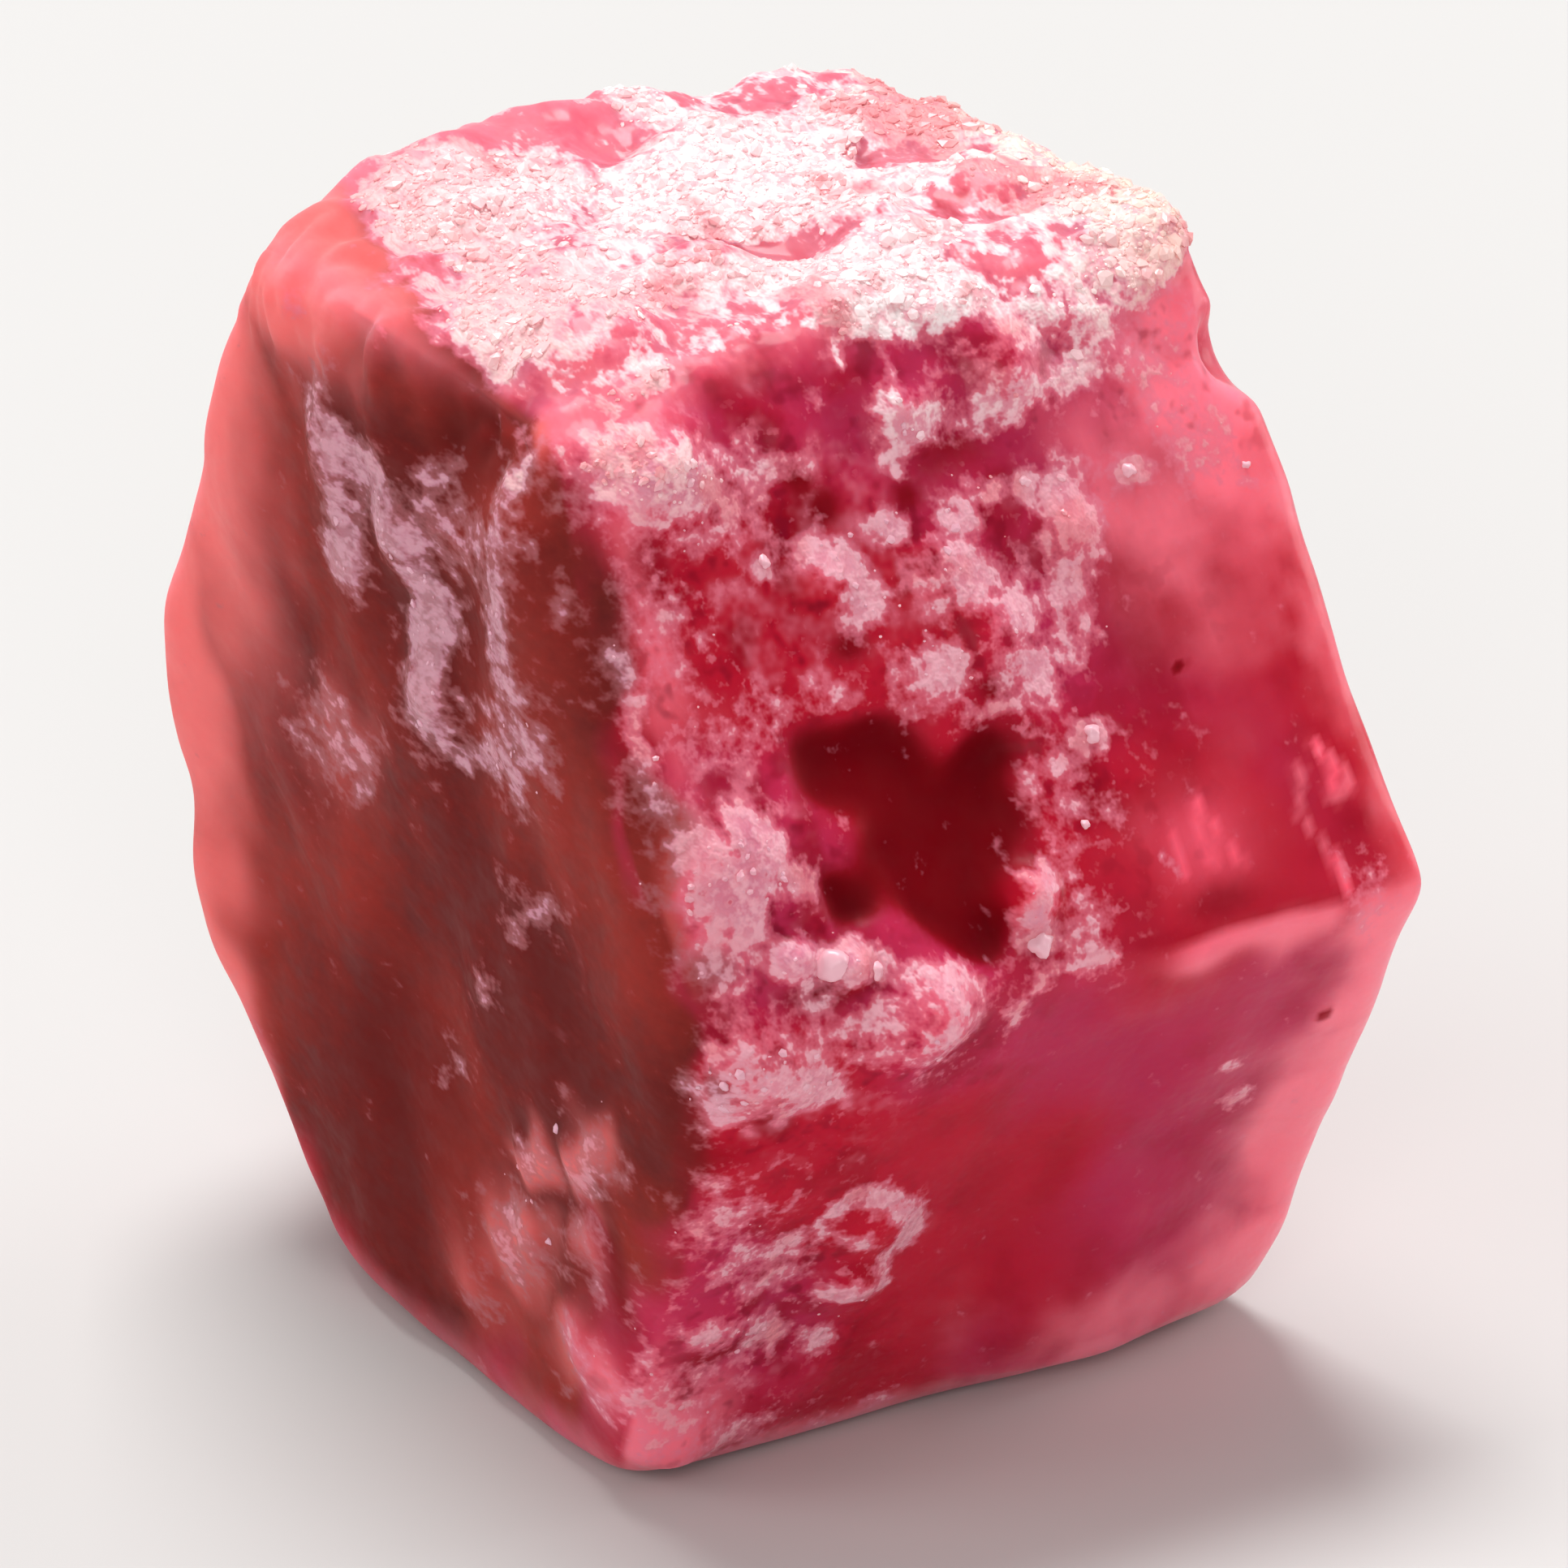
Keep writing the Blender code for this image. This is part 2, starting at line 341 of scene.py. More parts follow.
    # reflection along the lower front edge, and the own coral of the knobs and the healed cracks.
    ("warmAndRimLight", "nearEnd"): [
        (3.70, 2.70, 1.15, 2.30, 0, 1.1),
        (2.20, 4.20, 1.50, 0.70, 0, 1.1),
        (4.40, 0.10, 0.75, 1.80, 0, 0.95),
        (4.10, -2.00, 0.50, 1.60, 0, 0.8),
        (1.60, 0.50, 0.85, 0.45, -21, 0.45),
        (-1.23, -1.87, 0.48, 0.25, -21, 0.80),  # the knobs along the lower edge
        (-2.18, -1.52, 0.50, 0.29, -21, 0.82),
        (-0.73, -2.74, 0.68, 0.38, -21, 0.72),
        (-1.98, -2.27, 0.42, 0.30, -21, 0.58),
        (0.21, -3.39, 0.36, 0.33, -21, 0.45),
        (-1.47, -3.22, 0.48, 0.30, -25, 0.55),
        (-2.05, -3.35, 0.48, 0.38, 0, 0.60),
        (0.20, -3.40, 0.90, 0.45, 0, 0.35),
    ],
    ("warmAndRimLight", "upperFront"): [
        (2.50, 1.50, 0.50, 1.10, 0, 1.0),
        (2.85, -0.40, 0.22, 0.90, 0, 0.4),
        (1.95, 0.85, 0.60, 1.10, 0, 0.75),
        (-1.95, 2.62, 0.58, 0.42, 0, 0.9),
        (-2.12, 0.80, 0.20, 1.20, 0, 0.6),
        (-2.40, -0.80, 0.24, 0.90, 0, 0.5),
        (-0.35, 2.70, 0.50, 0.14, 0, 0.30),
    ],
    # painted reflection of the pale floor along the lower edge, and painted rim light at the far
    # edge
    ("warmAndRimLight", "lowerFront"): [
        (2.80, 1.40, 0.42, 1.00, 0, 1.0),
        (2.70, -0.40, 0.60, 1.10, 0, 1.2),
        (2.40, -2.00, 0.60, 0.70, 0, 1.2),
        (1.40, -2.65, 1.00, 0.48, 0, 1.2),
        (0.10, -2.90, 1.00, 0.30, 0, 0.8),
        (-1.20, -2.80, 0.90, 0.34, 0, 0.8),
        (-2.50, -2.20, 0.50, 0.80, 0, 0.8),
        (1.75, 2.12, 0.90, 0.26, 0, 0.9),
        (1.20, -2.05, 0.95, 0.55, 0, 0.65),
    ],
    ("warmAndRimLight", "top"): [
        (-1.10, 2.80, 1.00, 0.60, 0, 0.80),
        (-1.50, 0.40, 0.80, 1.20, 0, 0.34),
        (-0.90, 1.90, 0.80, 0.50, 0, 0.50),
        (-1.00, -1.10, 1.00, 0.40, 0, 0.50),
        (0.10, 2.10, 0.50, 0.40, 0, 0.55),
        (1.35, 1.90, 0.40, 0.30, 0, 0.45),
        (0.00, -0.45, 0.80, 0.40, 0, 0.55),
        (1.50, -2.00, 0.60, 0.40, 0, 0.40),
    ],
    ("gleam", "upperFront"): [  # light that breaks inside, under the edge on the far side
        (1.48, -1.58, 0.34, 0.30, 20, 0.60),
        (1.05, -1.45, 0.20, 0.20, 0, 0.30),
    ],
    ("gleam", "lowerFront"): [(1.30, 2.12, 0.30, 0.14, 0, 0.60)],
    ("deep", "upperFront"): [
        (-0.76, 1.66, 0.16, 0.10, -40, 0.9),
        (-0.56, 1.46, 0.14, 0.12, 0, 0.9),
        (-0.66, 0.42, 0.16, 0.12, 0, 0.8),
        (0.25, -0.11, 0.12, 0.10, 0, 0.9),
        (0.09, 1.37, 0.15, 0.12, 0, 0.8),
        (0.50, 1.60, 0.30, 0.20, 0, 0.6),
        (1.45, -0.10, 0.45, 0.80, 0, 0.45),
        (0.75, -1.15, 0.40, 0.20, 0, 0.40),
        (1.45, -2.06, 0.30, 0.16, 5, 0.50),
        (2.66, -1.75, 0.20, 0.28, 0, 0.40),
        (1.72, -0.35, 0.06, 0.05, 0, 1.1),
        (-1.60, -1.92, 0.34, 0.10, 0, 0.8),
    ],
    ("deep", "lowerFront"): [
        (0.00, -1.80, 0.80, 0.80, 0, 0.20),
        (2.45, 0.94, 0.05, 0.06, 0, 1.1),
        (-2.50, 1.15, 0.40, 0.20, 0, 0.5),
        (-2.20, -1.25, 0.40, 0.12, 0, 0.6),
    ],
    # painted shade in the hollow under the top edge, and darker red lower down
    ("deep", "nearEnd"): [
        (-0.95, 3.70, 0.62, 0.50, 0, 0.60),
        (-0.90, 2.05, 0.30, 0.60, 0, 0.40),
        (0.90, -2.20, 0.90, 1.00, 0, 0.50),
        (-2.50, -2.30, 0.24, 0.80, 0, 0.60),
        (-1.55, -2.08, 0.50, 0.08, -21, 0.30),
        (0.80, 1.60, 0.50, 0.40, 0, 0.30),
    ],
}

# Strands: points along and up, half-width, amount.
strands = {
    ("crust", "upperFront"): [
        ([(-0.46, 2.60), (-0.42, 2.21)], 0.06, 0.9),  # drips from the apron
        ([(-0.16, 2.62), (-0.17, 2.30)], 0.06, 0.85),
        ([(0.30, 2.60), (0.24, 2.20)], 0.07, 0.7),
        ([(1.02, 0.80), (0.98, 0.34), (0.88, -0.08)], 0.06, 0.9),
        ([(-2.41, 0.80), (-2.40, 0.50), (-2.45, 0.10), (-2.50, -0.30)], 0.10, 0.75),
        ([(2.52, -1.19), (2.55, -1.32)], 0.04, 0.60),  # healed cracks
        ([(2.40, -2.00), (2.45, -2.21)], 0.04, 0.60),
        ([(1.14, -1.60), (1.20, -1.74)], 0.04, 0.65),
        ([(-0.30, -2.52), (0.02, -2.22), (0.50, -2.20)], 0.08, 0.65),
    ],
    ("crust", "lowerFront"): [
        ([(-1.48, 0.18), (-1.34, 0.36), (-1.00, 0.20), (-0.80, -0.16)], 0.10, 1.0),
        ([(-0.80, -0.16), (-0.74, -0.46), (-0.92, -0.54), (-0.94, -0.82)], 0.09, 1.0),
        ([(-1.58, 0.10), (-1.45, -0.14)], 0.07, 0.7),
        ([(-2.93, 0.80), (-2.80, -0.40), (-2.60, -1.60)], 0.05, 0.8),
    ],
    ("crust", "nearEnd"): [
        ([(1.12, 3.64), (1.05, 3.10), (1.02, 2.60), (1.07, 2.15)], 0.28, 1.1),
        ([(0.98, 3.00), (0.50, 2.90), (0.20, 2.70)], 0.30, 0.75),
        ([(0.32, 2.86), (-0.13, 2.37), (-0.30, 1.91), (-0.10, 1.18)], 0.28, 1.1),
        ([(-0.10, 1.18), (-0.53, 1.09), (-1.16, 1.32), (-1.60, 1.55)], 0.16, 0.75),
        ([(-0.40, 1.45), (-1.00, 1.60), (-1.70, 1.85)], 0.12, 0.55),
        ([(-1.60, 1.45), (-1.80, 1.75), (-1.80, 2.00)], 0.28, 0.88),
        ([(-1.80, 1.75), (-1.66, 2.40), (-1.62, 3.00)], 0.32, 0.82),
        ([(-1.62, 3.00), (-1.60, 3.50), (-1.75, 4.10)], 0.26, 0.60),
        ([(-0.70, 3.20), (-0.55, 2.85), (-0.75, 2.55)], 0.20, 0.50),
    ],
    ("bare", "top"): [  # the smooth shoulder beside the near end
        ([(-2.95, -0.80), (-2.84, 0.10), (-2.62, 0.90), (-2.45, 1.70)], 0.44, 1.2),
        ([(-2.45, 1.70), (-2.25, 2.50), (-1.70, 3.30)], 0.44, 1.2),
    ],
    ("brown", "top"): [
        ([(-2.95, -0.80), (-2.72, 0.80), (-2.50, 1.70), (-2.30, 2.50)], 0.50, 1.1),
    ],
    ("warmAndRimLight", "upperFront"): [
        ([(2.50, -1.10), (2.56, -1.32), (2.50, -1.60)], 0.05, 0.70),  # healed cracks
        ([(2.29, -1.30), (2.22, -1.70), (2.38, -2.05), (2.46, -2.25)], 0.04, 0.60),
    ],
    ("warmAndRimLight", "top"): [([(-2.80, 0.50), (-2.65, 1.00), (-2.50, 1.70), (-2.30, 2.50)], 0.50, 1.0)],
    ("gleam", "upperFront"): [
        ([(1.52, -1.30), (1.46, -1.75)], 0.06, 0.95),
        ([(1.62, -1.45), (1.66, -1.80)], 0.05, 0.85),
        ([(1.28, -1.50), (1.24, -1.80)], 0.05, 0.75),
        ([(2.52, -1.12), (2.57, -1.34), (2.52, -1.50)], 0.04, 0.80),
        ([(2.40, -2.02), (2.46, -2.22)], 0.04, 0.90),
    ],
    ("deep", "upperFront"): [([(0.70, -2.24), (1.60, -2.20), (2.40, -2.26)], 0.07, 0.30)],
}

# How each look is laid: how far it wanders, how far it spills over an edge, how ragged it is.
laying = {
    "crust": (0.12, 0.6, 1.0),
    "bare": (0.3, 0.6, 0.0),
    "haze": (0.5, 0.6, 0.0),
    "brown": (0.4, 0.5, 0.0),
    "warmAndRimLight": (0.3, 0.15, 0.0),
    "gleam": (0.1, 0.1, 0.0),
    "deep": (0.1, 0.1, 0.0),
}

# How the spots and strands of every look are torn and fade out.
marking = {
    "wanderNoise": (2.0, (3.0, 11.0, 19.0)),  # its scale, and a shift for each axis
    "tearNoise": (3.4, 27.0),
    "tearLift": 0.2,
    "leastTorn": 0.4,
    "strandThinning": 0.4,
    "thinningFrom": (0.0, 0.4),
    "sharpness": 0.75,
    "spillBack": 0.2,
}

# Where the pale crust lies, and how it raises the skin.
cover = {
    "amount": (0.6, 0.66),  # a power and a factor for its spots and strands
    "topDrift": [(1.1, 3.0, 0.25)],
    "towardsBack": (0.5, 3.0),
    "backShare": 0.5,
    "topFrom": (3.90, 4.20),
    "patches": [(0.9, 7.0, 0.65), (2.5, 23.0, 0.40)],
    "patchMiddle": 0.85,
    "patchRange": (0.42, 1.1),
    "hiddenClumps": [(0.8, 53.0, 1.0), (1.9, 59.0, 0.8)],
    "hiddenRise": 0.06,  # more clumps for each millimetre up
    "hiddenClumpsFrom": (0.0, 0.9),
    "hiddenFrom": (0.05, 0.5),
    "hiddenShare": 0.85,
    "lostInHollow": 0.85,
    "hollowFrom": (0.1, 0.45),
    "thickness": 0.035,
    "roughness": [(6.0, 5.0, 0.06)],
    "raisedFrom": (0.3, 0.75),
    "thinBelow": 0.25,
    "thickFrom": (3.4, 4.0),
}

# How the colours of the skin spread. Pairs are where a colour starts and where it is full.
tints = {
    "drift": [(0.45, 13.0, 0.5), (1.1, 17.0, 0.15)],
    "mottle": (1.7, 41.0, 0.34),  # its coarsest noise: scale, shift, height
    "mottleFade": 0.6,
    "mottleLayers": 3,
    "brownDrift": [(1.2, 29.0, 0.2)],
    "brown": (0.3, 0.7),
    "calmOnBrown": 0.7,
    "cloud": (0.36, 0.64),
    "shade": (0.0, 0.16),
    "shadeShare": (0.2, 0.6),  # without haze, and what haze adds
    "earth": (0.30, 0.75),
    "warmAndRimLight": (0.05, 0.95),
    "rim": (0.45, 1.05),
    "rimShare": 0.5,
    "blush": (0.02, 0.18),
    "blushShare": 0.8,
    # the deep hollow's painted shade: where it starts and is full, and its strength
    "pitShade": (-0.1, 0.9),
    "pitShadeShare": 1.3,
}

# The skin's patterns are drawn out along Y.
skinScale = np.array((1.0, 0.5, 1.0))


def facePlanes():
    planes = {}
    for name, (angle, distance) in crystal["prismFaces"].items():
        turn = math.radians(angle)
        planes[name] = (Vector((0.0, math.cos(turn), math.sin(turn))), distance)
    for name, (direction, distance) in crystal["endFaces"].items():
        planes[name] = (Vector(direction).normalized(), distance)
    return planes


planes = facePlanes()


def faceAxes(name):  # the middle of a face, and its along and up directions
    normal, distance = planes[name]
    along = Vector((0.0, 1.0, 0.0)) if name in crystal["endFaces"] else Vector((1.0, 0.0, 0.0))
    up = Vector((0.0, 1.0, 0.0)) if name == "top" else Vector((0.0, 0.0, 1.0))
    up = (up - normal * normal.dot(up)).normalized()
    return normal * distance, along, up


def faceLevels(points):  # how far each point is outside each face's plane
    return {
        face: points @ np.array(normal) - distance for face, (normal, distance) in planes.items()
    }


def cornerOf(names):
    (a, da), (b, db), (c, dc) = (planes[name] for name in names)
    return (da * b.cross(c) + db * c.cross(a) + dc * a.cross(b)) / a.dot(b.cross(c))


def sharpPrism(cuts):
    bm = bmesh.new()
    bmesh.ops.create_cube(bm, size=crystal["block"])
    for normal, distance in planes.values():
        geometry = bm.verts[:] + bm.edges[:] + bm.faces[:]
        bmesh.ops.bisect_plane(
            bm, geom=geometry, plane_co=normal * distance, plane_no=normal, clear_outer=True
        )
        bmesh.ops.holes_fill(bm, edges=bm.edges[:])
    ends = [face for face in bm.faces if abs(face.normal.x) > 0.9]
    bmesh.ops.poke(bm, faces=ends)
    bmesh.ops.subdivide_edges(bm, edges=bm.edges[:], cuts=cuts, use_grid_fill=True)
    return bm


def smoothStep(values, low, high):
    share = np.clip((values - low) / (high - low), 0.0, 1.0)
    return share * share * (3.0 - 2.0 * share)


def mound(away, power):  # 1 in the middle, 0 from a distance of 1 on
    return np.clip(1.0 - away**2, 0.0, 1.0) ** power


def noiseField(points, scale, shift=0.0):
    offset = Vector((shift, shift * 0.37, -shift))
    return np.array([noise.noise(Vector(p) * scale + offset) for p in points])


def waves(points, rows, middle=0.0):
    return sum((noiseField(points, scale, shift) * height for scale, shift, height in rows), middle)


def drifts(points, scale, shifts):  # one noise beside the other, a column for each shift
    return np.stack([noiseField(points, scale, shift) for shift in shifts], axis=1)


def edgeGap(points, names):  # how far each point is from the edge between two faces
    return np.max([planes[name][1] - points @ np.array(planes[name][0]) for name in names], axis=0)


def wornSurface(points):  # the points moved in to the worn surface, and where relief raises them
    wear = np.full(len(points), crystal["edgeWear"])
    for names, added, reach in crystal["wornCorners"]:
        away = np.linalg.norm(points - np.array(cornerOf(names)), axis=1) / reach
        wear += added * mound(away, 2)
    for names, added, reach in crystal["wornEdges"]:
        wear += added * mound(edgeGap(points, names) / reach, 2)
    normals = np.array([normal for normal, _ in planes.values()])
    distances = np.array([distance for _, distance in planes.values()])
    for _ in range(3):
        pulls = np.exp((points @ normals.T - distances) / wear[:, None])
        total = pulls.sum(axis=1)
        outward = (pulls @ normals) / total[:, None]
        step = wear * np.log(total) / (outward**2).sum(axis=1)
        points = points - outward * step[:, None]
    lean = np.exp((points @ normals.T - distances) / crystal["leanWidth"]) @ normals
    return points, lean / np.linalg.norm(lean, axis=1)[:, None]


def hollowDepth(points):  # 0 outside the deep hollow, 1 at its bottom
    middle, along, up = (np.array(v) for v in faceAxes("upperFront"))
    drift = drifts(points, *deepHollow["wanderNoise"])
    spread = (points - middle) @ np.stack([along, up], axis=1) + drift * deepHollow["wander"]
    share = np.zeros(len(points))
    for a, b, radius in deepHollow["pits"]:
        share += np.exp(-((spread - (a, b)) ** 2).sum(axis=1) / radius**2)
    front = smoothStep(points @ np.array(planes["upperFront"][0]), *deepHollow["frontFrom"])
    return smoothStep(share, *deepHollow["walls"]) * front


def reliefHeight(points):
    height = waves(points, unevenness["everywhere"])
    height += waves(points, unevenness["onTop"]) * smoothStep(points[:, 2], *unevenness["topFrom"])
    dip = np.zeros(len(points))
    for name, marks in relief.items():
        middle, along, up = faceAxes(name)
        for a, b, radius, rise in marks:
            centre = np.array(middle + along * a + up * b)
            away = np.linalg.norm(points - centre, axis=1) / (radius * unevenness["foot"])
            if rise > 0:
                height += rise * mound(away, 3)
            else:
                dip = np.minimum(dip, rise * mound(away, 3))
    return height + dip


def distanceToStrand(a, b, stops):
    nearest = np.full(len(a), np.inf)
    for (a0, b0), (a1, b1) in zip(stops, stops[1:]):
        length = (a1 - a0) ** 2 + (b1 - b0) ** 2
        share = np.clip(((a - a0) * (a1 - a0) + (b - b0) * (b1 - b0)) / length, 0.0, 1.0)
        gap = np.hypot(a - a0 - share * (a1 - a0), b - b0 - share * (b1 - b0))
        nearest = np.minimum(nearest, gap)
    return nearest


def distanceToSpot(a, b, turn, halfA, halfB):  # squared, 1 at the spot's outline
    c, s = math.cos(math.radians(turn)), math.sin(math.radians(turn))
    return ((a * c + b * s) / halfA) ** 2 + ((b * c - a * s) / halfB) ** 2


def lookAmount(points, name):  # how much of a look each point has
    wander, spill, ragged = laying[name]
    bent = points + drifts(points, *marking["wanderNoise"]) * wander
    tear = noiseField(points * skinScale, *marking["tearNoise"])
    torn = np.maximum(1.0 + ragged * (marking["tearLift"] + tear), marking["leastTorn"])
    thinned = ragged * smoothStep(tear, *marking["thinningFrom"])
    kept = 1.0 - marking["strandThinning"] * thinned
    amount = np.zeros(len(points))
    levels = faceLevels(points)
    for face, level in levels.items():
        middle, along, up = (np.array(v) for v in faceAxes(face))
        others = np.max([levels[other] for other in levels if other != face], axis=0)
        near = smoothStep(level - others, -spill, spill * marking["spillBack"])
        a, b = (bent - middle) @ along, (bent - middle) @ up
        for atA, atB, halfA, halfB, turn, strength in spots.get((name, face), ()):
            away = distanceToSpot(a - atA, b - atB, turn, halfA, halfB)
            fade = np.exp(-marking["sharpness"] * away * torn)
            amount = np.maximum(amount, strength * near * fade)
        for stops, halfWidth, strength in strands.get((name, face), ()):
            away = (distanceToStrand(a, b, stops) / halfWidth) ** 2
            fade = np.exp(-marking["sharpness"] * away * torn)
            amount = np.maximum(amount, strength * kept * near * fade)
    return amount


def hiddenPatches(points):  # the crust of the far side, in clumps that thin out downwards
    levels = faceLevels(points)
    hidden = np.max([levels[face] for face in ("farEnd", "upperBack", "lowerBack")], axis=0)
    seen = np.max([levels[face] for face in ("nearEnd", "upperFront", "lowerFront")], axis=0)
    clumps = waves(points, cover["hiddenClumps"]) + points[:, 2] * cover["hiddenRise"]
    behind = smoothStep(hidden - seen, *cover["hiddenFrom"])
    return behind * smoothStep(clumps, *cover["hiddenClumpsFrom"]) * cover["hiddenShare"]


def crustAmount(points):
    skin = points * skinScale
    power, factor = cover["amount"]
    amount = lookAmount(points, "crust") ** power * factor
    amount = np.maximum(amount, hiddenPatches(points))
    back = smoothStep(points[:, 1], *cover["towardsBack"]) * cover["backShare"]
    level = points[:, 2] + waves(skin, cover["topDrift"]) + back
    patchy = np.clip(waves(skin, cover["patches"], cover["patchMiddle"]), *cover["patchRange"])
    amount = np.maximum(amount, smoothStep(level, *cover["topFrom"]) * patchy)
    return amount * (1.0 - np.clip(lookAmount(points, "bare"), 0.0, 1.0))


def mottleField(points):  # cloudy patches about half a millimetre across, around zero
    scale, shift, height = tints["mottle"]
    fade = tints["mottleFade"]
    layers = [(scale * 2**n, shift, height * fade**n) for n in range(tints["mottleLayers"])]
    return waves(points * skinScale, layers)


def skinShares(points, crust, hollow):  # how much of each colour shows at each point, 0 to 1
    drift = waves(points, tints["drift"], 0.5)
    haze, warmAndRimLight = lookAmount(points, "haze"), lookAmount(points, "warmAndRimLight")
    # brown: the near end's brown-red, partly painted shade
    brown = lookAmount(points, "brown") + waves(points, tints["brownDrift"])
    brown = smoothStep(brown, *tints["brown"])
    cloudy = mottleField(points) * (1.0 - tints["calmOnBrown"] * brown)
    clearShade, hazyShade = tints["shadeShare"]
    # the deep hollow is painted darker with its depth: painted shade
    pitShade = smoothStep(hollow, *tints["pitShade"]) * tints["pitShadeShare"]
    # rim is painted rim light: pink along the edges that light shines through
    rim = smoothStep(edgeCloseness(points) + cloudy * 0.8, *tints["rim"])
    return {
        "crust": crust,
        "haze": haze,
        "brown": brown,
        "cloud": smoothStep(drift, *tints["cloud"]),
        "shade": smoothStep(-cloudy, *tints["shade"]) * (clearShade + hazyShade * haze),
        "earth": smoothStep(drift + cloudy * 0.3, *tints["earth"]),
        "warmAndRimLight": smoothStep(warmAndRimLight + cloudy * 0.6, *tints["warmAndRimLight"]),
        "rim": rim * tints["rimShare"],
        "gleam": lookAmount(points, "gleam"),
        "deep": np.maximum(lookAmount(points, "deep"), pitShade),
        # blush follows the warm coral too, so it carries some of the painted rim light
        "blush": np.maximum(smoothStep(-cloudy, *tints["blush"]), warmAndRimLight) * tints["blushShare"],
    }


def edgeCloseness(points):  # 0 in the middle of a face, 1 along an edge that light shines through
    closeness = np.zeros(len(points))
    names = list(planes)
    for number, name in enumerate(names):
        for other in names[number + 1 :]:
            if (name, other) not in crystal["dullEdges"]:
                near = 1.0 - edgeGap(points, (name, other)) / crystal["edgeGlow"]
                closeness = np.maximum(closeness, near)
    return closeness


def newPiece(name, bm):
    bmesh.ops.recalc_face_normals(bm, faces=bm.faces[:])
    mesh = bpy.data.meshes.new(name)
    bm.to_mesh(mesh)
    bm.free()
    piece = bpy.data.objects.new(name, mesh)
    bpy.context.scene.collection.objects.link(piece)
    return piece


def addAmounts(mesh, name, amounts):
    layer = mesh.attributes.new(name, "FLOAT", "POINT")
    layer.data.foreach_set("value", np.ascontiguousarray(amounts, dtype=np.float32))


def crustRise(points, crust):
    thick = smoothStep(points[:, 2], *cover["thickFrom"])
    thick = cover["thinBelow"] + (1.0 - cover["thinBelow"]) * thick
    rough = waves(points, cover["roughness"], cover["thickness"])
    return smoothStep(crust, *cover["raisedFrom"]) * rough * thick


def crystalPiece():
    bm = sharpPrism(crystal["edgeCuts"])
    points, outward = wornSurface(np.array([v.co for v in bm.verts]))
    hollow = hollowDepth(points)
    lost = cover["lostInHollow"] * smoothStep(hollow, *cover["hollowFrom"])
    crust = crustAmount(points) * (1.0 - lost)
    height = reliefHeight(points) - hollow * deepHollow["depth"]
    height += crustRise(points, crust)
    baseLevel = -crystal["prismFaces"]["base"][1]
    keep = np.clip((points[:, 2] - baseLevel) / crystal["baseBand"], 0.0, 1.0)
    shaped = points + outward * (height * keep)[:, None]
    flat = shaped[:, 2] < baseLevel + crystal["flatWithin"]
    shaped[:, 2] = np.where(flat, baseLevel, shaped[:, 2])
    for vert, place in zip(bm.verts, shaped):
        vert.co = (Vector(place) + crystal["axisMiddle"]) * mm
    piece = newPiece("beryl_crystal", bm)
    piece.data.shade_smooth()
    for name, amounts in skinShares(points, crust, hollow).items():
        addAmounts(piece.data, name, amounts)
    piece.data.calc_loop_triangles()
    print("crystal:", len(piece.data.loop_triangles), "triangles")
    return piece


# The loose grains of the crust, in millimetres.
grains = {
    "doublings": 13,
    "seed": 7,
    "smallest": 0.014,
    "largest": 0.075,  # on the top
    "largestBelow": 0.046,
    "mostlySmall": 4,  # the power of the draw of a size
    "smallerWhereThin": 0.7,
    "thinCrust": (0.2, 0.5),
    "topFrom": (3.3, 4.0),
    "shareBelow": 0.22,
    "crustFrom": 0.45,
    "crustSpan": 0.5,
    "crustPower": 1.5,
    "specksInHaze": 0.18,
    "flocks": (1.6, 47.0),
    "flocksFrom": (-0.05, 0.35),
    "lumpiness": (0.75, 1.25),
    "stretch": (0.6, 1.2),
    "flatness": (0.35, 0.8),
    "sunk": 0.55,
    "clearOfFloor": 0.6,
    "darkest": 0.4,
    "cleanFrom": (-2.5, -2.2),  # the grains of the near end take no blush of their own
}

# The few large white grains: face, along, up, radius.
pearls = [
    ("upperFront", -1.50, -1.77, 0.11),
    ("upperFront", -1.30, -1.86, 0.06),
    ("upperFront", -0.02, -2.00, 0.09),
    ("upperFront", 0.89, -0.63, 0.07),
    ("upperFront", 0.62, -1.28, 0.035),
    ("upperFront", -1.16, 1.16, 0.05),
    ("upperFront", 0.96, 1.21, 0.04),
    ("upperFront", 1.82, 1.14, 0.05),
    ("upperFront", 2.72, 0.95, 0.035),
    ("lowerFront", -2.72, 1.95, 0.04),
    ("nearEnd", -1.80, -1.45, 0.035),
    ("nearEnd", -1.32, -2.55, 0.03),
]
pearlSunk = 0.25
pearlLumps = [(900.0, 0.5), (2200.0, 0.2)]  # noise scale over the radius, and height


def crystalSkin(mesh):  # each triangle's corners, doubled normal, and crust, haze and deep
    corners = np.empty(len(mesh.loop_triangles) * 3, dtype=np.int32)
    mesh.loop_triangles.foreach_get("vertices", corners)
    coords = np.empty(len(mesh.vertices) * 3, dtype=np.float32)
    mesh.vertices.foreach_get("co", coords)
    amounts = []
    for name in ("crust", "haze", "deep"):
        amount = np.empty(len(mesh.vertices), dtype=np.float32)
        mesh.attributes[name].data.foreach_get("value", amount)
        amounts.append(amount[corners].reshape(-1, 3).mean(axis=1))
    triangles = coords.reshape(-1, 3).astype(float)[corners].reshape(-1, 3, 3)
    cross = np.cross(triangles[:, 1] - triangles[:, 0], triangles[:, 2] - triangles[:, 0])
    return triangles, cross, amounts


